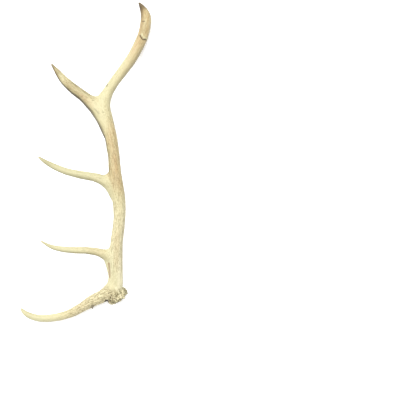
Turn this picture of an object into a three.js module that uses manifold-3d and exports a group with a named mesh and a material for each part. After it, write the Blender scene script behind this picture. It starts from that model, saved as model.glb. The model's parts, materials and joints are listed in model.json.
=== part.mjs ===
// A shed elk antler with five points, lying on its inner side.
//
// Units are millimetres and +Z is up. The antler lies along +Y: the burr, the knobbly collar that
// sat on the skull, is at the low-Y end and the tip of the beam at the high-Y end. It rests on three
// places: the rim of the burr, the bow of the brow tine and the bent tip of the beam. Between them
// the beam arches clear of the surface, and the other tines hang free. The origin is on the surface,
// under the middle of the whole antler.
//
// The antler grew in one piece. It is divided at its forks by plane cuts, a hair apart, into the
// main beam, which keeps the burr and a stump of every tine, four tines and the beam's tip.

import * as THREE from 'three';
import { mergeVertices } from 'three/addons/utils/BufferGeometryUtils.js';
import Module from 'manifold-3d';

const wasm = await Module();
wasm.setup();

// ---- Driving dimensions ---------------------------------------------------------------------

// Each row of a route is one cross-section: across (x), along (y), height of its middle above the
// surface (z), and radius. x and y are measured from the middle of the burr.
const BEAM_ROUTE = [
  [2, -3, 36.6, 27],
  [-3, 8, 40, 28],
  [-5, 25, 46, 27.5],
  [-1, 54, 54, 25],
  [2, 117, 69, 22.6],
  [6, 183, 85, 21.6],
  [14, 241, 98, 20.6],
  [17.6, 292, 109, 21.4],
  [14, 347, 117, 21.8],
  [4.5, 414, 123, 20.9],
  [-1, 481, 124, 19.8],
  [-10.5, 542, 121, 20.8],
  [-24, 597, 115, 20.6],
  [-34, 648, 107, 19.2],
  [-26.5, 689, 98, 19],
  [-5, 728, 87, 17.6],
  [21, 766, 75, 18.2],
  [53, 813, 61, 18.6],
  [80, 867, 46, 19.4],
  [96, 911.5, 35, 18.9],
  [102, 957, 23, 18.8],
  [98, 981, 15.5, 15.4],
  [89, 1000, 11, 10],
  [77, 1019, 10, 3],
];
const BROW_ROUTE = [
  [2, 22, 46, 4],
  [-16, 12, 45, 19],
  [-36, 2, 46, 22.5],
  [-59, -8, 45, 21.6],
  [-88, -22, 42, 19.4],
  [-120, -42, 36, 17],
  [-160, -63, 28, 15],
  [-204, -77, 21, 14],
  [-250, -83, 15, 13.2],
  [-285, -80, 11.6, 11.6],
  [-315, -68, 11, 9],
  [-335, -49, 14, 3],
];
const BEZ_ROUTE = [
  [2, 60, 52, 4],
  [-6, 100, 60, 13],
  [-22, 134, 66, 15],
  [-56, 150, 70, 13.8],
  [-97, 157, 74, 12.6],
  [-137, 158, 78, 12],
  [-181, 162, 83, 10.4],
  [-218, 171, 89, 7.4],
  [-252, 191, 98, 2.5],
];
const TREZ_ROUTE = [
  [13, 295, 108, 4],
  [0, 345, 113, 15],
  [-17, 379, 117, 18.4],
  [-42, 398.3, 121, 16.7],
  [-74, 408, 125, 14.6],
  [-114, 415, 132, 13.9],
  [-153, 423.8, 140, 12.1],
  [-190, 438, 149, 11.1],
  [-224, 456, 157, 7.8],
  [-249, 474, 163, 2.7],
];
const ROYAL_ROUTE = [
  [-8, 502, 121, 5],
  [-22, 561, 118.5, 19.3],
  [-37, 596, 116, 20.8],
  [-56, 632, 112, 22.8],
  [-79, 658, 108, 21.4],
  [-103, 680, 104, 19],
  [-140, 708, 99, 17.8],
  [-169, 734, 95, 15.4],
  [-190, 759, 92, 10.8],
  [-216, 793, 90, 2.7],
];

// Webs of bone that round the crook above each tine, as routes of the same kind.
const BROW_WEB = [
  [0, 78, 58, 12],
  [-12, 40, 51, 15],
  [-38, 12, 47, 17],
  [-78, -16, 43, 14],
];
const BEZ_WEB = [
  [5, 195, 87, 9],
  [-6, 165, 77, 12],
  [-24, 151, 70, 12],
  [-60, 149, 70, 10],
];
const TREZ_WEB = [
  [1, 448, 124, 9],
  [-8, 418, 121, 12],
  [-26, 404, 121, 12],
  [-60, 404, 123, 11],
];
const ROYAL_WEB = [
  [-8, 722, 89, 10],
  [-32, 684, 100, 14],
  [-54, 667, 106, 14],
  [-100, 677, 104, 13],
];

// The root of the bez tine runs on down the inner side of the beam as a low ridge.
const BEZ_RIDGE = [
  [-13, 46, 44, 5],
  [-17, 78, 51, 10.5],
  [-22, 104, 57, 11.5],
  [-31, 130, 63, 12.5],
  [-50, 146, 67, 12],
];

// A stray pearl that hangs like a small spur from the underside of the brow tine.
const SPUR_ROUTE = [
  [-79, -26, 36, 5],
  [-82, -40, 32, 4.5],
  [-83, -49, 30, 2],
];

// How far along its own route, from 0 to 1, each piece is cut from the main beam.
const BROW_CUT = 0.29;
const BEZ_CUT = 0.39;
const TREZ_CUT = 0.42;
const ROYAL_CUT = 0.565;
const TIP_CUT = 0.7;
const CUT_GAP = 0.3;

// The burr points along this direction, down towards the skull it grew on.
const BURR_AXIS = new THREE.Vector3(0.46, -0.73, -0.5).normalize();
const SEAL_RADIUS = 28;
const BURR_RADIUS = 37.5;

// The outline of the burr from the flat in the middle of the seal to inside the beam. Each row is
// a distance from the burr's axis and a height towards the beam.
const BURR_OUTLINE = [
  [0, -11],
  [15, -11],
  [24, -8.5],
  [SEAL_RADIUS, -3.5],
  [33.5, -5.5],
  [BURR_RADIUS, -1],
  [36.5, 5],
  [30.5, 9],
  [0, 12],
];

// The pearls stand out from the collar, and grow and shrink round it in two waves. Each wave has a
// number of crests, a strength and a phase.
const PEARL_COUNT = 21;
const PEARL_HEIGHT = 3;
const PEARL_WAVES = [
  [3, 0.35, 1],
  [7, 0.25, 0],
];

const RING_SPACING = 12;
const BEAM_SIDES = 16;
const TINE_SIDES = 14;
const SIDES_PER_PEARL = 4;

// ---- Branches -------------------------------------------------------------------------------

// A branch is a smooth centre line with a radius at every point of it, in even steps.
function makeBranch(route, sides) {
  const centres = route.map(([x, y, z]) => new THREE.Vector3(x, y, z));
  const curve = new THREE.CatmullRomCurve3(centres, false, 'centripetal');
  const radii = route.map((row) => row[3]);
  const radiusCurve = new THREE.CubicInterpolant([...radii.keys()], radii, 1);
  const steps = Math.round(curve.getLength() / RING_SPACING);
  const frames = curve.computeFrenetFrames(steps, false);
  const rings = frames.tangents.map((_, i) => ({
    centre: curve.getPointAt(i / steps),
    radius: radiusCurve.evaluate(curve.getUtoTmapping(i / steps) * (route.length - 1))[0],
    side: frames.normals[i],
    front: frames.binormals[i],
  }));
  return { curve, rings, sides };
}

// The branch's skin: a spindle turned on the lathe, one step high for each ring, then bent along
// the centre line.
function branchGeometry({ rings, sides }) {
  const spindle = rings.map((_, i) => new THREE.Vector2(1, i));
  spindle[0].x = 0;
  spindle[rings.length - 1].x = 0;
  const geometry = new THREE.LatheGeometry(spindle, sides);
  const position = geometry.getAttribute('position');
  const vertex = new THREE.Vector3();
  for (let i = 0; i < position.count; i++) {
    const ring = rings[Math.round(position.getY(i))];
    vertex.copy(ring.centre);
    vertex.addScaledVector(ring.side, position.getZ(i) * ring.radius);
    vertex.addScaledVector(ring.front, position.getX(i) * ring.radius);
    position.setXYZ(i, vertex.x, vertex.y, vertex.z);
  }
  return geometry;
}

// ---- Burr -----------------------------------------------------------------------------------

// The burr is a collar of pearls. Below it is the seal, the domed scar where the antler broke from
// the skull, with a small flat in the middle.
function burrGeometry() {
  const outline = BURR_OUTLINE.map(([radius, height]) => new THREE.Vector2(radius, height));
  const geometry = new THREE.LatheGeometry(outline, PEARL_COUNT * SIDES_PER_PEARL);
  const position = geometry.getAttribute('position');
  const vertex = new THREE.Vector3();
  for (let i = 0; i < position.count; i++) {
    vertex.fromBufferAttribute(position, i);
    const radius = Math.hypot(vertex.x, vertex.z);
    const angle = Math.atan2(vertex.z, vertex.x);
    const onCollar = THREE.MathUtils.smoothstep(radius, SEAL_RADIUS, BURR_RADIUS);
    let unevenness = 1;
    for (const [crests, strength, phase] of PEARL_WAVES) {
      unevenness += strength * Math.sin(crests * angle + phase);
    }
    const pearl = Math.abs(Math.sin((PEARL_COUNT * angle) / 2)) * unevenness;
    const scale = 1 + (onCollar * PEARL_HEIGHT * pearl) / BURR_RADIUS;
    position.setXYZ(i, vertex.x * scale, vertex.y, vertex.z * scale);
  }
  const up = new THREE.Vector3(0, 1, 0);
  const turn = new THREE.Quaternion().setFromUnitVectors(up, BURR_AXIS.clone().negate());
  geometry.applyQuaternion(turn);
  geometry.translate(...BEAM_ROUTE[0].slice(0, 3));
  return geometry;
}

// ---- Solids ---------------------------------------------------------------------------------

function toSolid(geometry) {
  geometry.deleteAttribute('normal');
  geometry.deleteAttribute('uv');
  const merged = mergeVertices(geometry, 1e-3);
  const mesh = new wasm.Mesh({
    numProp: 3,
    vertProperties: new Float32Array(merged.getAttribute('position').array),
    triVerts: new Uint32Array(merged.getIndex().array),
  });
  mesh.merge();
  return new wasm.Manifold(mesh);
}

function toMesh(name, solid, colour) {
  const { vertProperties, triVerts } = solid.getMesh();
  const geometry = new THREE.BufferGeometry();
  geometry.setAttribute('position', new THREE.BufferAttribute(vertProperties, 3));
  geometry.setIndex(new THREE.BufferAttribute(triVerts, 1));
  geometry.computeVertexNormals();
  const material = new THREE.MeshStandardMaterial({ color: colour, roughness: 0.7, metalness: 0 });
  const mesh = new THREE.Mesh(geometry, material);
  mesh.name = name;
  return mesh;
}

// Cuts a branch across its centre line into the stump near the root and the free end.
function cutBranch(branch, solid, along) {
  const normal = branch.curve.getTangentAt(along);
  const offset = branch.curve.getPointAt(along).dot(normal);
  const stump = solid.trimByPlane(normal.clone().negate().toArray(), -offset);
  const end = solid.trimByPlane(normal.toArray(), offset + CUT_GAP);
  return { stump, end };
}

// ---- Antler ---------------------------------------------------------------------------------

function makeTine(route, along) {
  const tine = makeBranch(route, TINE_SIDES);
  return cutBranch(tine, toSolid(branchGeometry(tine)), along);
}

const beam = makeBranch(BEAM_ROUTE, BEAM_SIDES);
const beamCut = cutBranch(beam, toSolid(branchGeometry(beam)), TIP_CUT);
const brow = makeTine(BROW_ROUTE, BROW_CUT);
const bez = makeTine(BEZ_ROUTE, BEZ_CUT);
const trez = makeTine(TREZ_ROUTE, TREZ_CUT);
const royal = makeTine(ROYAL_ROUTE, ROYAL_CUT);

let mainBeam = beamCut.stump.add(toSolid(burrGeometry()));
for (const { stump } of [brow, bez, trez, royal]) {
  mainBeam = mainBeam.add(stump);
}
for (const route of [BROW_WEB, BEZ_WEB, TREZ_WEB, ROYAL_WEB, BEZ_RIDGE, SPUR_ROUTE]) {
  mainBeam = mainBeam.add(toSolid(branchGeometry(makeBranch(route, TINE_SIDES))));
}

const antler = new THREE.Group();
antler.add(
  toMesh('main_beam', mainBeam, 0xe6dcb8),
  toMesh('brow_tine', brow.end, 0xe3d9b6),
  toMesh('bez_tine', bez.end, 0xf0ead0),
  toMesh('trez_tine', trez.end, 0xf0ead0),
  toMesh('royal_tine', royal.end, 0xe8dcaf),
  toMesh('beam_tip', beamCut.end, 0xe6d6a4),
);

// The origin goes on the surface, under the middle of the antler.
const extent = new THREE.Box3().setFromObject(antler, true);
const middle = extent.getCenter(new THREE.Vector3());
antler.position.set(-middle.x, -middle.y, -extent.min.z);

export default antler;
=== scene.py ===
# %% [markdown]
# # A shed elk antler, lying on its inner side
#
# The frame holds the antler as six plain solids: the main beam with its burr, four tines and the
# beam's tip. A real antler is one grown piece of bone, so the solids are replaced by one seamless
# mesh in the same place, with the forks, ridges, pearls and stains that make it look like antler.

# %% Load the frame
import json

import bpy
import numpy as np
from mathutils import Matrix, Vector


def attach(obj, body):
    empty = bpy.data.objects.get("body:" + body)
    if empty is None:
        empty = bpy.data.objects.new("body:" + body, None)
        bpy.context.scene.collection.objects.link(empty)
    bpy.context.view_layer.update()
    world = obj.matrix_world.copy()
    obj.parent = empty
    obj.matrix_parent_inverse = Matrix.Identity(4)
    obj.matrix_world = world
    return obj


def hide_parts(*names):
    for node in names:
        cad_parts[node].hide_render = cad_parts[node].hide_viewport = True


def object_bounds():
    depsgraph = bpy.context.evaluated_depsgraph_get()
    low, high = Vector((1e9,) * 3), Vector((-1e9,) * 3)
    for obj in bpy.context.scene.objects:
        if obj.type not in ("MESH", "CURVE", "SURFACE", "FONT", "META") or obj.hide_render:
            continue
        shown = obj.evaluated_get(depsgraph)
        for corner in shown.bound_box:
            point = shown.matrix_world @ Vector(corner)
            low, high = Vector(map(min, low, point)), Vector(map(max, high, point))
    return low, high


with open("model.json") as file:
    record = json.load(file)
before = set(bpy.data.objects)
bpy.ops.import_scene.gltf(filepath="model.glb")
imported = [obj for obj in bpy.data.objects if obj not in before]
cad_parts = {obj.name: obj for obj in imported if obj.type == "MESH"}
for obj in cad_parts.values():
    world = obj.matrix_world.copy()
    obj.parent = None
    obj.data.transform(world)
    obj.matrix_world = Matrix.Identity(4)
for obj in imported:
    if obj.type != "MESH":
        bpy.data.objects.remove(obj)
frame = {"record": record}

MM = 0.001
cad_low, cad_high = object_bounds()
print("frame box, mm:", [round(v / MM) for v in cad_high - cad_low])

# %% [markdown]
# ## The burr's middle
#
# Every route below is written in bench millimetres: x across, y along the antler, z up from the
# surface, all from a spot beside the burr. The record says where the seal under the burr is and
# which way it faces. The burr's middle is a short way back from there, which fixes the bench.

# %% Find the burr
seal = frame["record"]["mounts"][0]
burr_axis = Vector(seal["axis"])
SEAL_DEPTH = 11
BURR_ROW = (2, -3, 36.6, 27)
burr_middle = Vector(seal["pos_m"]) - burr_axis * SEAL_DEPTH * MM
bench = burr_middle - Vector(BURR_ROW[:3]) * MM
print("bench origin, mm:", [round(v / MM, 1) for v in bench])

# %% [markdown]
# ## Camera
#
# The antler is seen from straight above with a long lens, so that the parts near the surface are
# not drawn much smaller than the high ones. The camera stands well to the right of the antler,
# because the antler lies at the left of a square picture. It could be turned by an empty that it
# tracks, but a camera that is left unturned looks straight down already. It is made early, so that
# each later step can be looked at.

# %% Place the camera
CAMERA_HEIGHT = 3.4
PICTURE_WIDTH = 1.4
PICTURE_MIDDLE = (290.1, 329.6)

camera_data = bpy.data.cameras.new("overhead")
camera = bpy.data.objects.new("overhead", camera_data)
bpy.context.scene.collection.objects.link(camera)
bpy.context.scene.camera = camera
camera.location = (
    bench.x + PICTURE_MIDDLE[0] * MM,
    bench.y + PICTURE_MIDDLE[1] * MM,
    CAMERA_HEIGHT,
)
camera_data.lens = camera_data.sensor_width * CAMERA_HEIGHT / PICTURE_WIDTH
camera_data.clip_end = 20
print("lens, mm:", round(camera_data.lens, 1))

# %% [markdown]
# ## Routes
#
# An antler is a set of tapering, bending rods. Each rod is drawn here as a route: rows of x, y, z
# and radius in millimetres. The beam runs from the burr to its own tip. Each tine starts thin
# inside the beam, so that it comes out of it at a slant, as a tine grows. A web fills the crook
# above it, and a low ridge runs down the beam from the bez tine. The spur is a stray pearl under
# the brow tine. Box modelling could rough out the same forms, but rows of numbers are easier to
# correct.

# %% Write the beam down
BEAM = [
    BURR_ROW, (-3, 8, 40, 28), (-5, 25, 46, 27.5), (-1, 54, 54, 25), (2, 117, 69, 22.6),
    (6, 183, 85, 21.6), (14, 241, 98, 20.6), (17.6, 292, 109, 21.4), (14, 347, 117, 21.8),
    (4.5, 414, 123, 20.9), (-1, 481, 124, 19.8), (-10.5, 542, 121, 20.8), (-24, 597, 115, 20.6),
    (-34, 648, 107, 19.2), (-26.5, 689, 98, 19), (-5, 728, 87, 17.6), (21, 766, 75, 18.2),
    (53, 813, 61, 18.6), (80, 867, 46, 19.4), (96, 911.5, 35, 18.9), (102, 957, 23, 18.8),
    (98, 981, 15.5, 15.4), (89, 1000, 11, 10), (77, 1019, 10, 3),
]
print("rows of the beam:", len(BEAM))

# %% Write the tines down
BROW = [
    (2, 22, 46, 4), (-16, 12, 45, 19), (-36, 2, 46, 22.5), (-59, -8, 45, 21.6),
    (-88, -22, 42, 19.4), (-120, -42, 36, 17), (-160, -63, 28, 15), (-204, -77, 21, 14),
    (-250, -83, 15, 13.2), (-285, -80, 11.6, 11.6), (-315, -68, 11, 9), (-335, -49, 14, 3),
]
BEZ = [
    (2, 60, 52, 4), (-6, 100, 60, 13), (-22, 134, 66, 15), (-56, 150, 70, 13.8),
    (-97, 157, 74, 12.6), (-137, 158, 78, 12), (-181, 162, 83, 10.4), (-218, 171, 89, 7.4),
    (-252, 191, 98, 2.5),
]
TREZ = [
    (13, 295, 108, 4), (0, 345, 113, 15), (-17, 379, 117, 18.4), (-42, 398.3, 121, 16.7),
    (-74, 408, 125, 14.6), (-114, 415, 132, 13.9), (-153, 423.8, 140, 12.1),
    (-190, 438, 149, 11.1), (-224, 456, 157, 7.8), (-249, 474, 163, 2.7),
]
ROYAL = [
    (-8, 502, 121, 5), (-22, 561, 118.5, 19.3), (-37, 596, 116, 20.8), (-56, 632, 112, 22.8),
    (-79, 658, 108, 21.4), (-103, 680, 104, 19), (-140, 708, 99, 17.8), (-169, 734, 95, 15.4),
    (-190, 759, 92, 10.8), (-216, 793, 90, 2.7),
]
print("rows of the tines:", len(BROW), len(BEZ), len(TREZ), len(ROYAL))

# %% Write the webs, the ridge and the spur down
BROW_WEB = [(0, 78, 58, 12), (-12, 40, 51, 15), (-38, 12, 47, 17), (-78, -16, 43, 14)]
BEZ_WEB = [(5, 195, 87, 9), (-6, 165, 77, 12), (-24, 151, 70, 12), (-60, 149, 70, 10)]
TREZ_WEB = [(1, 448, 124, 9), (-8, 418, 121, 12), (-26, 404, 121, 12), (-60, 404, 123, 11)]
ROYAL_WEB = [(-8, 722, 89, 10), (-32, 684, 100, 14), (-54, 667, 106, 14), (-100, 677, 104, 13)]
BEZ_RIDGE = [
    (-13, 46, 44, 5), (-17, 78, 51, 10.5), (-22, 104, 57, 11.5), (-31, 130, 63, 12.5),
    (-50, 146, 67, 12),
]
SPUR = [(-79, -26, 36, 5), (-82, -40, 32, 4.5), (-83, -49, 30, 2)]

routes = {
    "beam": BEAM, "brow": BROW, "bez": BEZ, "trez": TREZ, "royal": ROYAL, "brow_web": BROW_WEB,
    "bez_web": BEZ_WEB, "trez_web": TREZ_WEB, "royal_web": ROYAL_WEB, "bez_ridge": BEZ_RIDGE,
}
TINES = ("brow", "bez", "trez", "royal")
print("rows:", {name: len(rows) for name, rows in routes.items()})

# %% [markdown]
# ## Rods
#
# A Bezier curve with a round bevel draws a tapering rod from a few points: the handles bend it
# smoothly through them, and each point's radius sets its thickness. An extruded circle could do the
# same, but it needs a turn at every ring. The curve is then converted to a mesh.

# %% Draw each rod as a bevelled curve
def draw_rod(name, rows):
    bpy.ops.object.select_all(action="DESELECT")
    bpy.ops.curve.primitive_bezier_curve_add(location=(0, 0, 0))
    rod = bpy.context.object
    rod.name = name
    points = rod.data.splines[0].bezier_points
    points.add(len(rows) - len(points))
    for point, (x, y, z, radius) in zip(points, rows):
        point.co = bench + Vector((x, y, z)) * MM
        point.radius = radius
        point.handle_left_type = point.handle_right_type = "AUTO"
    rod.data.dimensions = "3D"
    rod.data.twist_mode = "MINIMUM"
    rod.data.splines[0].radius_interpolation = "CARDINAL"
    rod.data.splines[0].resolution_u = 12
    rod.data.bevel_depth = MM
    rod.data.bevel_resolution = 10
    rod.data.use_fill_caps = True
    bpy.ops.object.convert(target="MESH")
    return bpy.context.object


def with_point(rows):
    """One more row just past the last, so that the rod ends in a point and not in a disc."""
    last, before = np.array(rows[-1], float), np.array(rows[-2], float)
    ahead = (last - before)[:3]
    ahead *= last[3] / np.linalg.norm(ahead)
    return [*rows, (*(last[:3] + ahead * 1.3), 0.4)]


rods = [
    draw_rod(name, rows if "web" in name else with_point(rows)) for name, rows in routes.items()
]
print("rods:", len(rods), "faces:", sum(len(rod.data.polygons) for rod in rods))

# %% [markdown]
# ## One piece of bone
#
# The rods overlap. A boolean union would join them but leave sharp seams and long thin faces.
# Joining them and giving them a voxel remesh welds them into one closed skin of small even faces,
# which can be smoothed and carved anywhere.

# %% Join and weld
def weld(pieces, voxel):
    bpy.ops.object.select_all(action="DESELECT")
    for piece in pieces:
        piece.select_set(True)
    bpy.context.view_layer.objects.active = pieces[0]
    bpy.ops.object.join()
    welded = bpy.context.object
    remesh = welded.modifiers.new("weld", "REMESH")
    remesh.mode = "VOXEL"
    remesh.voxel_size = voxel * MM
    bpy.ops.object.modifier_apply(modifier=remesh.name)
    print("welded faces:", len(welded.data.polygons))
    return welded


antler = weld(rods, 2.4)
antler.name = antler.data.name = "antler"

# %% [markdown]
# ## How far is the skin from each rod?
#
# Both the rounding of the forks and the ridges need to know where a point lies on a branch, as if
# the branch had been pulled straight: across it, up and along. The same sum gives how high the
# point stands over the rod's drawn skin, and which way is outwards. A curve modifier bends a
# straight pattern in one go, but it knows one branch only, so the sum is written out here.

# %% Sample the routes in small steps
STEP = 4.0
FINE_STEPS = 24


def sample(rows):
    """Even steps along a smooth line through the rows: centre, radius, direction, side, length."""
    rows = np.array(rows, float)
    pieces = []
    for i in range(len(rows) - 1):
        before, after = rows[max(i - 1, 0)], rows[min(i + 2, len(rows) - 1)]
        start, end = rows[i], rows[i + 1]
        t = np.linspace(0, 1, FINE_STEPS, endpoint=False)[:, None]
        square = 2 * before - 5 * start + 4 * end - after
        cube = 3 * start - before - 3 * end + after
        pieces.append(0.5 * (2 * start + (end - before) * t + square * t**2 + cube * t**3))
    fine = np.vstack([*pieces, rows[-1:]])
    length = np.concatenate([[0], np.cumsum(np.linalg.norm(np.diff(fine[:, :3], axis=0), axis=1))])
    even = np.linspace(0, length[-1], int(length[-1] / STEP) + 1)
    line = np.stack([np.interp(even, length, fine[:, k]) for k in range(4)], 1)
    ahead = np.gradient(line[:, :3], axis=0)
    ahead /= np.linalg.norm(ahead, axis=1)[:, None]
    side = [np.cross(ahead[0], (0, 0, 1))]
    for direction in ahead[1:]:
        turned = side[-1] - direction * side[-1].dot(direction)
        side.append(turned / np.linalg.norm(turned))
    side = np.array(side)
    return {"centre": line[:, :3], "radius": line[:, 3], "ahead": ahead, "side": side,
            "top": np.cross(side, ahead), "length": even}


lines = {name: sample(rows) for name, rows in routes.items()}
print("lengths, mm:", {name: round(line["length"][-1]) for name, line in lines.items()})

# %% Straighten points along a route
BATCH = 20000


def nearest_step(points, line):
    nearest = np.empty(len(points), int)
    centre = line["centre"]
    for start in range(0, len(points), BATCH):
        part = points[start:start + BATCH]
        square = (part**2).sum(1)[:, None] - 2 * part @ centre.T + (centre**2).sum(1)
        distance = np.sqrt(np.maximum(square, 0))
        nearest[start:start + BATCH] = (distance - line["radius"]).argmin(1)
    return nearest


def straighten(points, line):
    """Where each point is on the straight branch, its height over the skin, and the way out."""
    near = nearest_step(points, line)
    offset = points - line["centre"][near]
    forward = (offset * line["ahead"][near]).sum(1)
    out = offset - line["ahead"][near] * np.clip(forward, -STEP / 2, STEP / 2)[:, None]
    reach = np.linalg.norm(out, axis=1) + 1e-9
    across = (offset * line["side"][near]).sum(1)
    up = (offset * line["top"][near]).sum(1)
    place = np.stack([across, up, line["length"][near] + forward], 1)
    return place, reach - line["radius"][near], out / reach[:, None]


tip = np.array([BEAM[-1][:3]], float)
print("the beam's tip, straightened, mm:", straighten(tip, lines["beam"])[0].round()[0])

# %% Read and write the skin in bench millimetres
def read(mesh, what="co"):
    flat = np.empty(len(mesh.vertices) * 3, np.float32)
    mesh.vertices.foreach_get(what, flat)
    return flat.reshape(-1, 3).astype(float)


def read_skin():
    return (read(antler.data) - np.array(bench)) / MM


def write_skin(points):
    metres = (points * MM + np.array(bench)).astype(np.float32)
    antler.data.vertices.foreach_set("co", metres.ravel())
    antler.data.update()


print("points of the skin:", len(read_skin()))

# %% Soft steps
def fade(value, start, end):
    """1 before start, 0 after end, smooth between."""
    t = np.clip((value - start) / (end - start), 0, 1)
    return 1 - t * t * (3 - 2 * t)


def rise(value, start, end):
    return 1 - fade(value, start, end)


def between(value, start, full, last, end):
    """0 before start, 1 from full to last, 0 after end."""
    return rise(value, start, full) * fade(value, last, end)


print("halfway down a fade:", fade(0.5, 0, 1))

# %% [markdown]
# ## Round forks
#
# On a real antler a tine flows out of the beam with no crease, and the last fork is nearly as flat
# as a web. Where two rods meet at an angle, the skin is pushed out until the crease is filled. The
# filling is deepest where both skins are equally near, and nothing is added where they run
# together. A bevel could round a clean edge, but a welded crease has no edge to bevel. What is
# left of the crease is then smoothed away.

# %% Smooth by drifting to the neighbours
def spread(values, rounds):
    """Each value drifts to the mean of its neighbours, which smooths fine detail away."""
    ends = np.empty(len(antler.data.edges) * 2, np.int32)
    antler.data.edges.foreach_get("vertices", ends)
    first, second = ends.reshape(-1, 2).T
    size = len(values)
    count = np.bincount(ends, minlength=size)
    for _ in range(rounds):
        total = [
            np.bincount(first, column[second], size) + np.bincount(second, column[first], size)
            for column in values.T
        ]
        values = (values + (np.array(total) / count).T) / 2
    return values


print("edges of the skin:", len(antler.data.edges))

# %% Fill the creases
REACH = 26
OWN_REACH = {"brow": 40, "royal": 52, "bez_ridge": 14}
ROUNDS = 7


def fill_creases(points):
    found = [straighten(points, line) for line in lines.values()]
    height = np.array([height for _, height, _ in found])
    way_out = np.array([out for _, _, out in found])
    nearest = height.argmin(0)
    every = np.arange(len(points))
    lowest, own_way = height[nearest, every], way_out[nearest, every]
    filling, way = np.zeros(len(points)), own_way.copy()
    for index, (name, line) in enumerate(lines.items()):
        reach = OWN_REACH.get(name, REACH)
        length = found[index][0][:, 2]
        beside = fade(np.maximum(-length, length - line["length"][-1]), 0, 12)
        close = np.clip(1 - (height[index] - lowest) / reach, 0, 1) * beside * (nearest != index)
        crease = np.clip(1.3 * (1 - (way_out[index] * own_way).sum(1)), 0, 1)
        filling = np.maximum(filling, reach / 4 * close**2 * crease)
        way += way_out[index] * (close**2 * crease * 0.6)[:, None]
    way /= np.linalg.norm(way, axis=1)[:, None]
    return points + way * ((filling - lowest) * 0.6)[:, None]


skin = read_skin()
for _ in range(ROUNDS):
    skin = fill_creases(skin)
print("moved, mm:", np.linalg.norm(skin - read_skin(), axis=1).max().round(1))

# %% Smooth the skin where two branches meet
beam_height, beam_out = straighten(skin, lines["beam"])[1:]
at_fork = np.zeros(len(skin))
for name in TINES:
    height, out = straighten(skin, lines[name])[1:]
    crease = rise(1 - (out * beam_out).sum(1), 0.1, 0.5)
    crease *= fade(np.maximum(beam_height, height), 25, 60)
    at_fork = np.maximum(at_fork, crease * fade(np.abs(beam_height - height), 6, 34))
at_fork = spread(at_fork[:, None], 8)
skin += at_fork * (spread(skin, 60) - skin)
write_skin(spread(skin, 1))
print("creases filled, points at the forks:", int((at_fork > 0.5).sum()))

# %% [markdown]
# ## Burr
#
# The burr is a collar of bony pearls where the antler sat on the skull, and under it is the seal, a
# shallow dome of rough bone. A torus makes the collar and a flattened ball makes the dome. Each
# pearl is a small ball of its own size and place, as no two are alike on a real burr. Smaller rows
# climb from the collar on to the beam. The burr is a little oval, and wider away from the brow
# tine. They could be scattered by a particle system, but then the rows would be lost.

# %% Find the burr's own space
wide_way = (Vector((1, 0, 0)) - burr_axis * burr_axis.x).normalized()
turn = (-burr_axis).to_track_quat("Z", "Y").to_matrix().to_4x4()
to_burr = Matrix.Translation(burr_middle + wide_way * 1.8 * MM)
to_burr = to_burr @ Matrix.Scale(1.05, 4, wide_way) @ turn


def place(piece, spot, size):
    there = Matrix.Translation(Vector(spot) * MM)
    piece.matrix_world = to_burr @ there @ Matrix.Diagonal((*size, 1))
    bpy.ops.object.transform_apply(location=True, rotation=True, scale=True)
    return piece


def ball(name, spot, size):
    bpy.ops.object.select_all(action="DESELECT")
    bpy.ops.mesh.primitive_uv_sphere_add(segments=16, ring_count=10, radius=MM)
    piece = bpy.context.object
    piece.name = name
    return place(piece, spot, size)


print("burr leans from upright by, degrees:", round(np.degrees(burr_axis.angle((0, 0, -1)))))

# %% Make the collar, the seal and the spur
bpy.ops.object.select_all(action="DESELECT")
bpy.ops.mesh.primitive_torus_add(
    major_segments=64, minor_segments=16, major_radius=29.2 * MM, minor_radius=5.8 * MM
)
burr = [place(bpy.context.object, (0, 0, 0.5), (1, 1, 1))]
burr.append(ball("shoulder", (0, 0, 7), (32, 32, 12)))
burr.append(ball("seal", (0, 0, 1), (28, 28, 14)))
burr.append(draw_rod("spur", with_point(SPUR)))
print("burr pieces:", len(burr))

# %% Add the pearls and weld them on
PEARL_ROWS = [
    # count, distance out, height towards the beam, size
    (36, (34.8, 36.0), (-3.5, 3.0), (2.2, 3.4)),
    (34, (32.0, 34.6), (3.5, 9), (1.9, 3.4)),
    (30, (28.6, 31.0), (9.5, 15), (1.8, 3.2)),
    (25, (26.6, 28.6), (16, 23), (1.6, 2.8)),
    (18, (25.8, 27.6), (24, 34), (1.5, 2.6)),
]
rng = np.random.default_rng(7)
for count, outs, heights, sizes in PEARL_ROWS:
    for index in range(count):
        angle = 2 * np.pi * (index + rng.uniform(-0.3, 0.3)) / count
        out, size = rng.uniform(*outs), rng.uniform(*sizes)
        spot = (out * np.cos(angle), out * np.sin(angle), rng.uniform(*heights))
        burr.append(ball("pearl", spot, (size, size, size * rng.uniform(0.9, 1.5))))
print("burr pieces:", len(burr))
antler = weld([antler, *burr], 1.35)

# %% [markdown]
# ## A map of the antler
#
# Every point gets a place on the beam and on its nearest tine, and a share that says which of the
# two it belongs to. The share turns smoothly at a fork, so that patterns melt into each other
# there. Unwrapping the mesh would give a flat map too, but it would tear it at every seam.

# %% Map every point of the skin
points = read_skin()
on_beam, beam_height, _ = straighten(points, lines["beam"])
on_tine = np.zeros_like(on_beam)
tine_height = np.full(len(points), np.inf)
tine = np.full(len(points), "", "U8")
for name in TINES:
    place_on, height, _ = straighten(points, lines[name])
    nearer = height < tine_height
    on_tine[nearer], tine_height[nearer], tine[nearer] = place_on[nearer], height[nearer], name
# The lines of the brow tine start on the beam, over the burr.
lead = np.where(tine == "brow", 12 * fade(on_beam[:, 2], 20, 75), 0)
share = rise(beam_height - tine_height + lead, -9, 9)
print("points:", len(points), "on tines:", int((share > 0.5).sum()))

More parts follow.
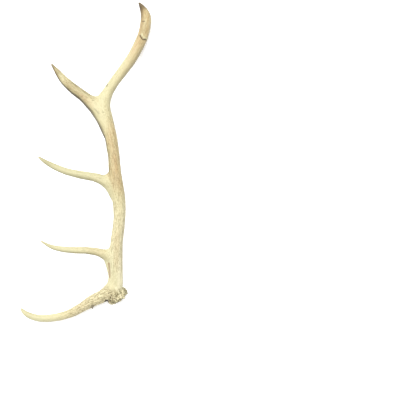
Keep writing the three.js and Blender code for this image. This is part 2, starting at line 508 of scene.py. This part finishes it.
# %% Name the lengths, the branches and the burr
burr_space = np.array(to_burr.inverted())
local = ((points * MM + np.array(bench)) @ burr_space[:3, :3].T + burr_space[:3, 3]) / MM
burr_height, burr_out = local[:, 2], np.hypot(local[:, 0], local[:, 1])
at_burr = fade(burr_height, 12, 26) * fade(burr_out, 34, 46)
along, tine_along = on_beam[:, 2], on_tine[:, 2]
side = on_beam[:, 0] / 20
brow, royal = share * (tine == "brow"), share * (tine == "royal")
beam_only = 1 - share
print("points on the burr:", int((at_burr > 0.5).sum()))

# %% [markdown]
# ## Patterns
#
# The ridges are noise, drawn out along the branches: a grid of random numbers, read between its
# points. The pearls are rounds, one in each cell of a second grid. Both bend with the antler,
# because they are read at the straightened places. Blender's own noise can't be read that way
# outside a material, and the relief has to be in the mesh.

# %% Noise and rounds along the branches
GRID = 32
noise_grid = rng.uniform(-1, 1, (GRID, GRID, GRID))
spot_grid = rng.uniform(-0.35, 0.35, (GRID, GRID, GRID, 3))


def noise(places):
    cell = np.floor(places).astype(int)
    part = places - cell
    part = part * part * (3 - 2 * part)
    total = np.zeros(len(places))
    for corner in np.ndindex(2, 2, 2):
        weight = np.where(corner, part, 1 - part).prod(1)
        total += weight * noise_grid[tuple(((cell + corner) % GRID).T)]
    return total


def rounds(places):
    cell = np.floor(places).astype(int)
    nearest = np.full(len(places), 9.0)
    for corner in np.ndindex(3, 3, 3):
        owner = cell + corner - 1
        spot = owner + 0.5 + spot_grid[tuple((owner % GRID).T)]
        nearest = np.minimum(nearest, np.linalg.norm(places - spot, axis=1))
    return np.clip(1 - (nearest / 0.6) ** 2, 0, 1)


print("grids:", noise_grid.shape, spot_grid.shape)

# %% Read a pattern on the branches
SWAY, SWAY_CELL = 3, 26


def on_branches(pattern, across, length, shift):
    """The pattern in cells of that size, in mm, on the beam and the tines, blended by the share."""
    scale = 1 / np.array([across, across, length])
    results = []
    for places in (on_beam, on_tine):
        sway = [noise(places / SWAY_CELL + shift), noise(places / SWAY_CELL + shift + 9)]
        wobble = np.stack([*sway, np.zeros(len(places))], 1)
        results.append(pattern((places + SWAY * wobble) * scale + shift))
    return (1 - share) * results[0] + share * results[1]


sample_noise = noise(on_beam / 5)
print("noise:", sample_noise.min().round(2), "to", sample_noise.max().round(2))

# %% Lines drawn over the top
normals = read(antler.data, "normal")


def near_line(spots, width):
    """1 on a line drawn over the top of the antler, in bench mm, fading to 0 at its width."""
    spots = np.array(spots, float)
    nearest = np.full(len(points), np.inf)
    for start, end in zip(spots, spots[1:]):
        ahead, offset = end - start, points[:, :2] - start
        t = np.clip((offset @ ahead) / (ahead**2).sum(), 0, 1)
        nearest = np.minimum(nearest, np.linalg.norm(offset - t[:, None] * ahead, axis=1))
    return fade(nearest, width * 0.35, width) * rise(normals[:, 2], -0.2, 0.1)


print("share of the skin that faces up:", (normals[:, 2] > 0).mean().round(2))

# %% [markdown]
# ## Gutters, ridges and pearls
#
# Blood vessels in the velvet leave long gutters in the bone, and between them stand ridges and
# pearls. They are strongest by the burr and on the root of the brow tine, and fade to smooth tips.
# They could be sculpted by hand, or left to a displace modifier. Here each point moves along its
# normal by a mix of the patterns, in millimetres, so that the relief follows every bend.

# %% Say where the antler is rough
beam_rough = (
    0.15 + 0.25 * fade(along, 640, 760) + 0.4 * fade(along, 60, 330)
    + 0.35 * between(along, 330, 430, 600, 680)
)
tine_rough = np.select(
    [tine == "brow", tine == "royal"],
    [
        1.5 * fade(tine_along, 120, 250) + 0.06,
        0.12 + 0.25 * between(tine_along, 160, 220, 340, 370),
    ],
    0.35 * fade(tine_along, 20, 190) + 0.06,
)
rough = (1 - share) * beam_rough * fade(along, 940, 1020) + share * tine_rough
pearled = fade(burr_height, 24, 66) * fade(burr_out, 50, 95)
print("roughness:", rough.min().round(2), "to", rough.max().round(2))

# %% Mix the relief, in mm
wander = on_branches(noise, 12, 110, 3.1)
ridges = on_branches(noise, 4.2, 34, 11.7)
gutters = np.exp(-(on_branches(noise, 6, 60, 27.3) / 0.10) ** 2)
beads = on_branches(rounds, 6, 8, 41.0)
swell = on_branches(noise, 45, 70, 57.9)
carving = rough * (0.6 * wander + 0.9 * ridges - 0.6 * gutters)
carving += pearled * 1.5 * (beads - 0.4) + 0.7 * swell
carving *= 1 - 0.5 * at_burr
print("relief, mm:", carving.min().round(2), "to", carving.max().round(2))

# %% [markdown]
# ## Marks of its own
#
# This antler has a few marks that no other has: a hooked crack near the beam's tip with a raised
# sliver above it, a short dash, a nick and a scratch by the top fork, a brown groove beside the
# root of the bez tine, a bony buttress on the burr, and small pits. A dent sits in the crook
# between the brow tine and the burr, where painted shade goes later. They could be knife cuts in
# the mesh.
# Here each is a short line over the top of the antler that raises or lowers the skin beside it,
# which needs no new faces.

# %% Draw the marks
crack = near_line([(83, 897), (88.9, 886), (92.6, 881.4), (103.7, 882)], 3.0)
sliver = near_line([(89.2, 900), (94, 891), (97.5, 887.6), (106, 886.5)], 5)
dash = near_line([(91, 947), (99, 947)], 3)
nick = near_line([(-27, 716), (-25, 722)], 4)
scratch = near_line([(-63, 635), (-49, 620)], 3.2)
groove = near_line([(-22, 112), (-20.5, 98), (-20, 84), (-20.5, 66)], 5)
buttress = near_line([(3, 27), (11, 12), (20, -4)], 6)
beside_buttress = near_line([(-4, 20), (3, 8), (10, -4)], 5)
beside_buttress += near_line([(13, 24), (20, 10), (26, 2)], 5)
# A dent in the crook between the brow tine and the burr, darkened later with painted shade.
shaded_crook = near_line([(-31, -19), (-34, -22)], 8)
PITS = ((-71, 665), (-35.5, 624), (-24, 9), (-17, -6))
pits = sum(near_line([(x, y), (x + 1, y + 1)], 2.8) for x, y in PITS)
print("points in the crack:", int((crack > 0.5).sum()), "| in the pits:", int((pits > 0.5).sum()))

# %% Draw the places that are only stained
above_crack = near_line([(92, 934), (91, 908)], 6)
under_crack = near_line([(80, 880), (70, 862), (57, 838), (50, 815)], 7)
moss = near_line([(-21, -12), (-14, -20), (6, -23), (20, -14)], 8)
moss += near_line([(31, 26), (36, 13), (37, 0)], 9)
royal_soot = near_line([(-146, 734), (-117, 714), (-91, 693)], 8)
royal_soot *= rise(on_branches(noise, 5, 24, 71.3), -0.5, 0.2)
royal_rust = near_line([(-120, 692), (-100, 672), (-80, 650)], 9)
royal_rust += near_line([(-190, 774), (-186, 768)], 6)
print("points under moss:", int((moss > 0.5).sum()))

# %% Cut the marks in
carving += 1.2 * buttress + 1.1 * sliver * (1 - crack)
carving -= 0.4 * beside_buttress + 2.2 * crack + 0.6 * dash + 1.5 * nick
carving -= 0.8 * groove + 2.5 * shaded_crook + 0.9 * pits
skin = points + carving[:, None] * normals
write_skin(skin)
print("carving, mm:", carving.min().round(2), "to", carving.max().round(2))

# %% [markdown]
# ## Where the colours go
#
# Antler bone is pale where it is rubbed and brown where sap, blood and soil stay, and some of the
# pale and the dark here is painted light and painted shade. An image could hold the colours, but it
# would need an unwrapped mesh and would blur close up. Instead each kind of colour is a number from
# 0 to 1 for every point, stored on the mesh by name for the material to read. The hollows hold soil
# and painted shade, so the first step is to find them: a point that lies below the mean of its
# neighbourhood is in one.

# %% Find the hollows
normals = read(antler.data, "normal")
depth = ((spread(skin, 12) - skin) * normals).sum(1)
hollow = rise(depth, 0.05, 0.55)
print("hollows, mm deep:", depth.max().round(2), "| share of the skin:", hollow.mean().round(2))

# %% [markdown]
# ## Sides of the branches
#
# Painted shade darkens the underside and some lower, left and right edges, and painted light
# brightens a few sides that the lamp leaves darker.
# The normals say which way the skin looks, so each side is a soft mask.

# %% Say which way the skin faces
def facing(direction, start, full):
    """1 where the skin looks in that direction, 0 where it looks away."""
    return rise(normals @ np.array(direction), start, full)


underside = facing((0, 0, -1), -0.35, 0.7)
lower_edge = facing((0.1, -0.97, -0.2), 0.15, 0.85)
right_edge = facing((0.95, -0.25, -0.2), 0.2, 0.9)
left_edge = facing((-0.95, -0.25, -0.2), 0.2, 0.9)
lower_left_edge = facing((-0.62, -0.76, -0.2), 0.1, 0.75)
print("share of the skin that faces down:", underside.mean().round(2))

# %% [markdown]
# ## Tan
#
# Rubbing against bark leaves sap, which dries to an even tan. It lies on the middle of the beam, on
# the royal tine and over the beam's tip. Each stretch of a branch is written as four lengths in
# millimetres: where the stain starts, where it is full, where it starts to fade and where it ends.

# %% Lay the tan
tan = beam_only * (
    0.9 * between(along, 320, 430, 560, 640) * (0.65 + 0.35 * rise(side, -0.8, 0.1))
    + 0.35 * between(along, 90, 140, 210, 270) * between(side, -0.7, -0.4, 0.2, 0.6)
    + 0.12 * between(along, 200, 260, 320, 360)
    # Less tan on the right edge of the tip is painted light against the shade there.
    + rise(along, 900, 960) * (1.1 - 0.4 * right_edge)
    + 0.6 * between(along, 800, 880, 930, 965) * rise(side, -0.4, 0.2)
)
tan += royal * (0.5 * between(tine_along, 160, 195, 275, 315) + 0.25 * rise(tine_along, 285, 330))
tan += 0.2 * share * (tine == "bez") * between(tine_along, 60, 110, 170, 230)
tan *= 1 - 0.8 * sliver
print("tan, mean:", tan.mean().round(3))

# %% [markdown]
# ## Olive
#
# Damp soil and moss leave an olive grey on the moss patches, and with painted shade between the
# pearls of the burr. The same olive is painted shade on the lower edges of the tines, on the
# underside and along the right edge of the beam, and it darkens the left edge of the upper beam.

# %% Lay the olive on the beam and the burr
# Along the right edge of the beam the olive is painted shade; along the left edge of the upper beam
# it is a darker band.
olive = beam_only * (
    0.32 * between(along, 690, 760, 890, 940) * right_edge
    + 0.35 * between(along, 590, 640, 710, 760) * right_edge
    + 0.15 * between(along, 100, 200, 580, 620) * right_edge
    + 0.85 * between(along, 390, 440, 650, 700) * left_edge
)
# Painted shade on the side that faces down, weaker on the brow tine.
olive += (0.35 - 0.2 * brow) * underside
# Soil and painted shade in the hollows of the burr, and moss.
olive += (0.06 + 0.5 * hollow) * at_burr + 0.3 * pearled * hollow + 0.8 * moss
# Darker on the side of the burr that faces down and to the right.
olive += 0.8 * at_burr * facing((0.6, -0.65, -0.35), 0.1, 0.8)
print("olive, mean:", olive.mean().round(3))

# %% Lay the olive on the tines
# Painted shade on the lower edges of the tines, weaker on the brow tine.
olive += (0.7 * (share - royal) - 0.6 * brow) * lower_edge
# On the royal tine: a stain along its middle, and stain and painted shade together on its
# lower-left edge.
olive += royal * (0.3 * between(tine_along, 175, 205, 265, 300) + 0.9 * lower_left_edge)
olive += share * np.select(
    [tine == "royal", tine == "trez"],
    [0.5 * rise(tine_along, 295, 340), 0.4 * rise(tine_along, 270, 320)],
    0.1 * rise(tine_along, 250, 300),
)
# The bez tine's tip is olive, most on its lower edge, where it is painted shade.
olive += 0.25 * share * (tine == "bez") * rise(tine_along, 215, 255) * (0.3 + 0.7 * lower_edge)
print("olive, mean:", olive.mean().round(3))

# %% [markdown]
# ## Brown and umber
#
# Old blood and peat are darker. Brown tints the points of the beam and the royal tine, and the
# gutters of the brow tine, and it is painted shade on the left side of the beam's tip, on the
# lower-left side of the royal tine's tip and along the right edges of the beam. Umber, nearly
# black, fills the cracks and pits, darkens the hollows as dirt and painted shade, and is painted
# shade in the crook between the brow tine and the burr, under the spur, on the left side of the
# beam's tip and on the lower-left edge under the royal tine.

# %% Lay the brown
brown = beam_only * (
    0.65 * rise(along, 1040, 1070)
    # Painted shade on the left side of the beam's tip.
    + 0.8 * rise(along, 990, 1035) * facing((-0.9, -0.35, 0), 0, 0.55)
    + 0.22 * rise(along, 880, 930) * rise(on_branches(noise, 5, 7, 63.7), 0.15, 0.6)
    # Painted shade along the right edge of the upper beam and on the right rim of the lower beam.
    + 0.25 * between(along, 690, 750, 900, 960) * rise(right_edge, 0.2, 0.9)
    + 0.3 * between(along, 60, 110, 240, 310) * facing((1, 0, 0), 0.6, 0.95)
)
brown += royal * (
    0.3 * rise(tine_along, 335, 358)
    # Painted shade on the lower-left side of the royal tine's tip.
    + 0.65 * rise(tine_along, 290, 330) * facing((-0.85, -0.5, 0), 0, 0.55)
)
# In the hollows of the brow tine's root the brown is stain and painted shade.
brown += 0.25 * brow * fade(tine_along, 120, 220) * hollow + 0.12 * beside_buttress
brown += 0.55 * above_crack
print("brown, mean:", brown.mean().round(3))

# %% Lay the umber
# Painted shade under the spur.
spur_shade = near_line([(-79, -35), (-83, -46)], 8)
blots = rise(on_branches(noise, 5, 9, 97.1), -0.1, 0.5)
umber = beam_only * (
    0.6 * rise(along, 1044, 1074)
    # Painted shade on the left side of the beam's tip.
    + 0.3 * rise(along, 1005, 1045) * left_edge
    # Blots along the right edge of the upper beam, stain and painted shade together.
    + 0.4 * between(along, 770, 830, 900, 925) * right_edge * blots
)
# Painted shade on the lower-left edge under the royal tine and along its root.
under_royal = np.maximum(royal, between(along, 500, 560, 660, 700))
umber += 0.8 * under_royal * rise(lower_left_edge, 0.4, 0.95)
umber += 0.3 * royal * rise(tine_along, 338, 362)
# Cracks, dash, nick, groove and pits; in the crook by the burr the umber is painted shade.
umber += 0.75 * crack + 0.6 * dash + 0.5 * nick + 0.25 * groove + 0.9 * shaded_crook + 0.35 * pits
umber += 0.35 * scratch + 0.6 * royal_soot + 0.5 * spur_shade
# In the hollows the umber is dirt and painted shade.
umber += hollow * (0.12 * rough + 0.06 * brow + 0.04 * at_burr + 0.05 * pearled + 0.5 * moss)
umber += 0.22 * at_burr * rise(burr_out, 34, 38)
print("umber, mean:", umber.mean().round(3))

# %% [markdown]
# ## Rust, ivory, rubbed bone and painted light
#
# A reddish rust sits in the groove, under the crack and on the royal tine. The tines are a cooler
# ivory than the beam, and where the bone is rubbed often it is brightest: on the buttress, on the
# lower beam, and on the ridges of the brow tine, but not in its gutters. The same bright colour is
# painted light on the right side of the lower beam and on the lower edge of the brow tine, and it
# lightens the burr except in its hollows and on its side that faces down and to the right.

# %% Lay the rust and the pale bone
rust = 0.6 * under_crack + 0.6 * groove + 0.14 * brow * fade(tine_along, 150, 250)
rust += 0.5 * royal_rust * rise(on_branches(noise, 5, 16, 83.9), -0.5, 0.4)
pale = sliver + share * np.select(
    [tine == "brow", tine == "royal"], [rise(tine_along, 190, 300), 0.2], 0.9
)
pale += 0.8 * beam_only * between(along, 640, 700, 820, 900) * fade(side, -0.4, 0.3)
pale += 0.8 * beam_only * between(along, 30, 60, 130, 200) + 0.6 * brow * fade(tine_along, 110, 190)
print("rust, mean:", rust.mean().round(3), "| pale, mean:", pale.mean().round(3))

# %% Lay the rubbed bone and the painted light
# Painted light on the right side of the lower beam, which falls back at its very rim.
right_side_lit = 0.75 * facing((1, 0, 0), 0.1, 0.6) - 0.6 * facing((1, 0, 0), 0.8, 1)
rubbed = beam_only * (
    between(along, 20, 50, 115, 175) * (0.25 + right_side_lit)
    + 0.6 * between(along, 110, 170, 270, 370) * (1 - 0.5 * left_edge)
)
# On the brow tine, rubbed ridges, and painted light on its lower edge.
rubbed += brow * (0.4 * fade(tine_along, 110, 220) * (1 - hollow) + 0.25 * lower_edge)
# The burr is lighter except in its hollows and on its side that faces down and to the right.
rubbed += 0.65 * at_burr * (1 - hollow) * (1 - facing((0.9, -0.3, -0.2), 0.1, 0.7))
rubbed += 0.7 * buttress
print("rubbed, mean:", rubbed.mean().round(3))

# %% [markdown]
# ## Flecks
#
# Short dark fibres and flecks lie everywhere along the grain, but thickly only in some places. One
# last number says how thickly, and the material draws them.

# %% Say where the bone is flecked
marked = beam_only * (
    0.2 + 0.3 * rise(along, 880, 930) + 0.5 * between(along, 330, 420, 630, 700)
    + 0.45 * between(along, 50, 130, 330, 420)
)
marked += share * np.select(
    [tine == "brow", tine == "royal"],
    [0.9 * fade(tine_along, 120, 260) + 0.12, 0.12 + 0.6 * between(tine_along, 150, 200, 340, 370)],
    0.12 + 0.25 * between(tine_along, 50, 110, 170, 240),
)
print("flecked, mean:", marked.mean().round(3))

# %% [markdown]
# ## Stored on the mesh
#
# Point attributes are like vertex colours, but each holds one plain number or a place. They stay
# with the points when the mesh is thinned.

# %% Store the stains, the painted shade and light, and the straightened places
def store(name, values):
    kind = "FLOAT_VECTOR" if values.ndim == 2 else "FLOAT"
    attribute = antler.data.attributes.new(name, kind, "POINT")
    socket = "vector" if values.ndim == 2 else "value"
    attribute.data.foreach_set(socket, values.astype(np.float32).ravel())


# Stains, painted shade and painted light, with the roughness and the tine share.
stain_and_shade_masks = {
    "tan": tan, "olive": olive, "brown": brown, "umber": umber, "pale": pale, "rust": rust,
    "rubbed": rubbed, "marked": marked, "rough": rough, "tine_share": share,
}
for name, values in stain_and_shade_masks.items():
    store(name, np.clip(values, 0, 1))
store("on_beam", on_beam * MM)
store("on_tine", on_tine * MM)
print("stored:", ", ".join([*stain_and_shade_masks, "on_beam", "on_tine"]))

# %% [markdown]
# ## Fewer faces
#
# The welded skin has more faces than it needs. A decimate modifier merges them, and a vertex group
# tells it where: most on the smooth bone, and hardly at all on the burr, the marks and the thin
# ends of the tines, which would lose their points.

# %% Spend fewer faces where the bone is smooth
FACES = 190000
LEVELS = 10
marks = crack + sliver + dash + nick + pits + scratch + groove
thin_end = beam_only * rise(along, 990, 1050)
for name in TINES:
    end = lines[name]["length"][-1]
    thin_end += share * (tine == name) * rise(tine_along, end - 100, end - 50)
plain = np.clip(1.1 - 0.45 * rough - 0.6 * pearled - thin_end - 4 * marks, 0, 1)
group = antler.vertex_groups.new(name="plain")
for level in range(1, LEVELS + 1):
    chosen = np.nonzero(np.round(plain * LEVELS) == level)[0]
    group.add(chosen.tolist(), level / LEVELS, "REPLACE")
thin = antler.modifiers.new("thin", "DECIMATE")
thin.ratio = FACES / (2 * len(antler.data.polygons))
thin.vertex_group = group.name
bpy.ops.object.modifier_apply(modifier=thin.name)
bpy.ops.object.shade_smooth()
antler.data.calc_loop_triangles()
print("triangles:", len(antler.data.loop_triangles))

# %% [markdown]
# ## The seal's flat, and the frame's box
#
# The middle of the seal is flat, so that the antler can be screwed to a plaque. Points below that
# plane are pushed up to it. The finished skin also has to stay inside the frame's box, so the few
# points that stand out of it are held a hair inside.

# %% Flatten the seal and stay inside the frame
FLAT_REACH = 22
MARGIN = 0.1
skin = read_skin()
axis = np.array(burr_axis)
below = (skin - BURR_ROW[:3]) @ axis
off_axis = np.linalg.norm(skin - BURR_ROW[:3] - below[:, None] * axis, axis=1)
too_deep = np.where(off_axis < FLAT_REACH, np.maximum(below - SEAL_DEPTH, 0), 0)
skin -= too_deep[:, None] * axis
low = (np.array(cad_low) - np.array(bench)) / MM + MARGIN
high = (np.array(cad_high) - np.array(bench)) / MM - MARGIN
held_back = ((skin < low) | (skin > high)).any(1)
write_skin(np.clip(skin, low, high))
print("points held back:", int(held_back.sum()), "| flattened:", int((too_deep > 0).sum()))

# %% [markdown]
# ## Bone
#
# The bone is cream, with streaks, fibres and flecks that run along the grain, and with the stains
# laid over it from the lightest to the darkest. The streaks are noise on the straightened places.
# Small bumps that the mesh is too coarse for are left to a bump node. Wiring nodes in code is
# wordy, so a few helpers come first, one for each kind of node.

# %% Start the material
bone = bpy.data.materials.new("antler_bone")
bone.use_nodes = True
tree = bone.node_tree
shader = tree.nodes["Principled BSDF"]


def wire(value, socket):
    if isinstance(value, bpy.types.NodeSocket):
        tree.links.new(value, socket)
    else:
        socket.default_value = value


def stored(name, vector=False):
    node = tree.nodes.new("ShaderNodeAttribute")
    node.attribute_name = name
    return node.outputs["Vector" if vector else "Fac"]


def maths(operation, a, b=0.0, c=0.0):
    node = tree.nodes.new("ShaderNodeMath")
    node.operation = operation
    for value, socket in zip((a, b, c), node.inputs):
        wire(value, socket)
    return node.outputs[0]


print("material:", bone.name)

# %% Steps and blends
def step_up(value, start, end):
    node = tree.nodes.new("ShaderNodeMapRange")
    node.interpolation_type = "SMOOTHSTEP"
    wire(value, node.inputs["Value"])
    node.inputs["From Min"].default_value = start
    node.inputs["From Max"].default_value = end
    return node.outputs["Result"]


def blend(amount, under, over):
    node = tree.nodes.new("ShaderNodeMix")
    node.data_type = "RGBA"
    wire(amount, node.inputs[0])
    wire(under, node.inputs[6])
    wire(over, node.inputs[7])
    return node.outputs[2]


def blend_values(amount, under, over):
    node = tree.nodes.new("ShaderNodeMix")
    wire(amount, node.inputs[0])
    wire(under, node.inputs[2])
    wire(over, node.inputs[3])
    return node.outputs[0]


print("helpers ready for steps and blends")

# %% Grain along the branches
def grain(across, length, detail, shift):
    """Noise in cells of that size, in mm, on the beam and the tines."""
    results = []
    for name in ("on_beam", "on_tine"):
        mapping = tree.nodes.new("ShaderNodeMapping")
        wire(stored(name, vector=True), mapping.inputs["Vector"])
        mapping.inputs["Location"].default_value = (shift, shift, shift)
        mapping.inputs["Scale"].default_value = (1000 / across, 1000 / across, 1000 / length)
        texture = tree.nodes.new("ShaderNodeTexNoise")
        texture.inputs["Scale"].default_value = 1
        texture.inputs["Detail"].default_value = detail
        wire(mapping.outputs[0], texture.inputs["Vector"])
        results.append(texture.outputs["Fac"])
    return blend_values(stored("tine_share"), *results)


print("helper ready for the grain")

# %% [markdown]
# ## Colours, from light to dark
#
# Each colour covers what is below it by the amount of its mask; the masks hold stains, painted
# shade and painted light. Streaks of noise break up the tan and the olive, so that no stain or
# painted shade has a plain edge. The fibres take on the colour around them, olive on clean bone and
# brown on tan bone. A colour ramp on one noise would be simpler, but then every stain would lie in
# the same places.

# %% Mix the colours of the bone
# The olive, brown and umber colours also serve as painted shade, and the bright one as painted
# light.
CREAM = (0.48, 0.44, 0.262, 1)
IVORY = (0.455, 0.430, 0.262, 1)
BRIGHT = (0.63, 0.585, 0.39, 1)
TAN = (0.350, 0.257, 0.118, 1)
BROWN_STAIN_AND_SHADE = (0.170, 0.118, 0.050, 1)
RUST = (0.40, 0.255, 0.135, 1)
OLIVE_SOIL_AND_SHADE = (0.146, 0.132, 0.060, 1)
UMBER_DIRT_AND_SHADE = (0.040, 0.026, 0.014, 1)

streaks = step_up(grain(5, 34, 4, 0.3), 0.40, 0.62)
broad = step_up(grain(18, 120, 2, 4.7), 0.36, 0.62)
fibres = step_up(grain(3.2, 17, 3, 9.1), 0.50, 0.60)
flecks = step_up(grain(3.6, 6.5, 2, 15.2), 0.53, 0.62)


def broken(amount, pattern, most, least):
    """The amount, times a pattern that runs from least to least plus most."""
    return maths("MULTIPLY", amount, maths("MULTIPLY_ADD", pattern, most, least))


colour = blend(stored("rubbed"), blend(stored("pale"), CREAM, IVORY), BRIGHT)
colour = blend(maths("MULTIPLY", broad, 0.14), colour, TAN)
colour = blend(broken(stored("tan"), streaks, 0.45, 0.42), colour, TAN)
rusty = maths("MULTIPLY", maths("MULTIPLY", stored("tan"), broad), 0.25)
colour = blend(maths("ADD", rusty, stored("rust")), colour, RUST)
strand = blend(stored("tan"), OLIVE_SOIL_AND_SHADE, BROWN_STAIN_AND_SHADE)
colour = blend(broken(fibres, stored("marked"), 0.48, 0.03), colour, strand)
colour = blend(broken(stored("olive"), streaks, 0.4, 0.55), colour, OLIVE_SOIL_AND_SHADE)
colour = blend(broken(flecks, stored("marked"), 0.55, 0.03), colour, BROWN_STAIN_AND_SHADE)
colour = blend(stored("brown"), colour, BROWN_STAIN_AND_SHADE)
colour = blend(stored("umber"), colour, UMBER_DIRT_AND_SHADE)
wire(colour, shader.inputs["Base Color"])
print("colour nodes:", len(tree.nodes))

# %% [markdown]
# ## Sheen and fine relief
#
# Dry bone is dull, and duller still where it is rough. Its finest grain is thinner than the faces
# of the mesh, so a bump node tilts the light there without moving the surface.

# %% Give the bone its sheen and small bumps
wire(blend_values(stored("rough"), 0.5, 0.66), shader.inputs["Roughness"])
shader.inputs["Specular IOR Level"].default_value = 0.3
bump = tree.nodes.new("ShaderNodeBump")
bump.inputs["Strength"].default_value = 0.45
bump.inputs["Distance"].default_value = 0.8 * MM
long_and_round = maths("ADD", grain(2.2, 26, 3, 2.2), grain(2.4, 3, 1, 5.0))
relief = maths("MULTIPLY", long_and_round, stored("rough"))
wire(relief, bump.inputs["Height"])
wire(bump.outputs["Normal"], shader.inputs["Normal"])
antler.data.materials.clear()
antler.data.materials.append(bone)
print("material nodes:", len(tree.nodes))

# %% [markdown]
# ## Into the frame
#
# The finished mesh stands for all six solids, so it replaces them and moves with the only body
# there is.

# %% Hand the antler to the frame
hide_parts("main_beam", "brow_tine", "bez_tine", "trez_tine", "royal_tine", "beam_tip")
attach(antler, "root")
print("handed over:", antler.name, "in", antler.data.materials[0].name)

# %% [markdown]
# ## Floor and light
#
# The antler lies on a plain white sheet that glows a little, as a light table does, so that shadows
# on it are faint. The main light comes from nearly overhead, a little from the tine tips' side, so
# both sides of the beam and the lower sides of the tines fall into shade. It is a sun lamp with a
# very wide disc, which gives soft shadows and is as strong at the burr as at the tip. An area lamp
# would be stronger at its own end. A dim white world fills in.

# %% Lay the white sheet
bpy.ops.object.select_all(action="DESELECT")
bpy.ops.mesh.primitive_plane_add(size=80, location=(0, 0, -0.5 * MM))
floor = bpy.context.object
floor.name = "white_sheet"
sheet_white = bpy.data.materials.new("white_sheet")
sheet_white.use_nodes = True
sheet_shader = sheet_white.node_tree.nodes["Principled BSDF"]
sheet_shader.inputs["Base Color"].default_value = (0.86, 0.86, 0.86, 1)
sheet_shader.inputs["Roughness"].default_value = 0.9
sheet_shader.inputs["Emission Color"].default_value = (1, 1, 1, 1)
sheet_shader.inputs["Emission Strength"].default_value = 0.3
floor.data.materials.append(sheet_white)
print("sheet laid")

# %% Hang the lamp
key_data = bpy.data.lights.new("key", "SUN")
key_data.energy = 5.0
key_data.angle = np.radians(55)
key = bpy.data.objects.new("key", key_data)
key.location = (-0.5, 1.3, 3.4)
key.rotation_euler = (-key.location).to_track_quat("-Z", "Y").to_euler()
bpy.context.scene.collection.objects.link(key)
world = bpy.data.worlds.new("studio")
world.use_nodes = True
background = world.node_tree.nodes["Background"]
background.inputs["Color"].default_value = (1, 1, 1, 1)
background.inputs["Strength"].default_value = 0.55
bpy.context.scene.world = world
bpy.context.scene.view_settings.view_transform = "Standard"
print("lamp hung")
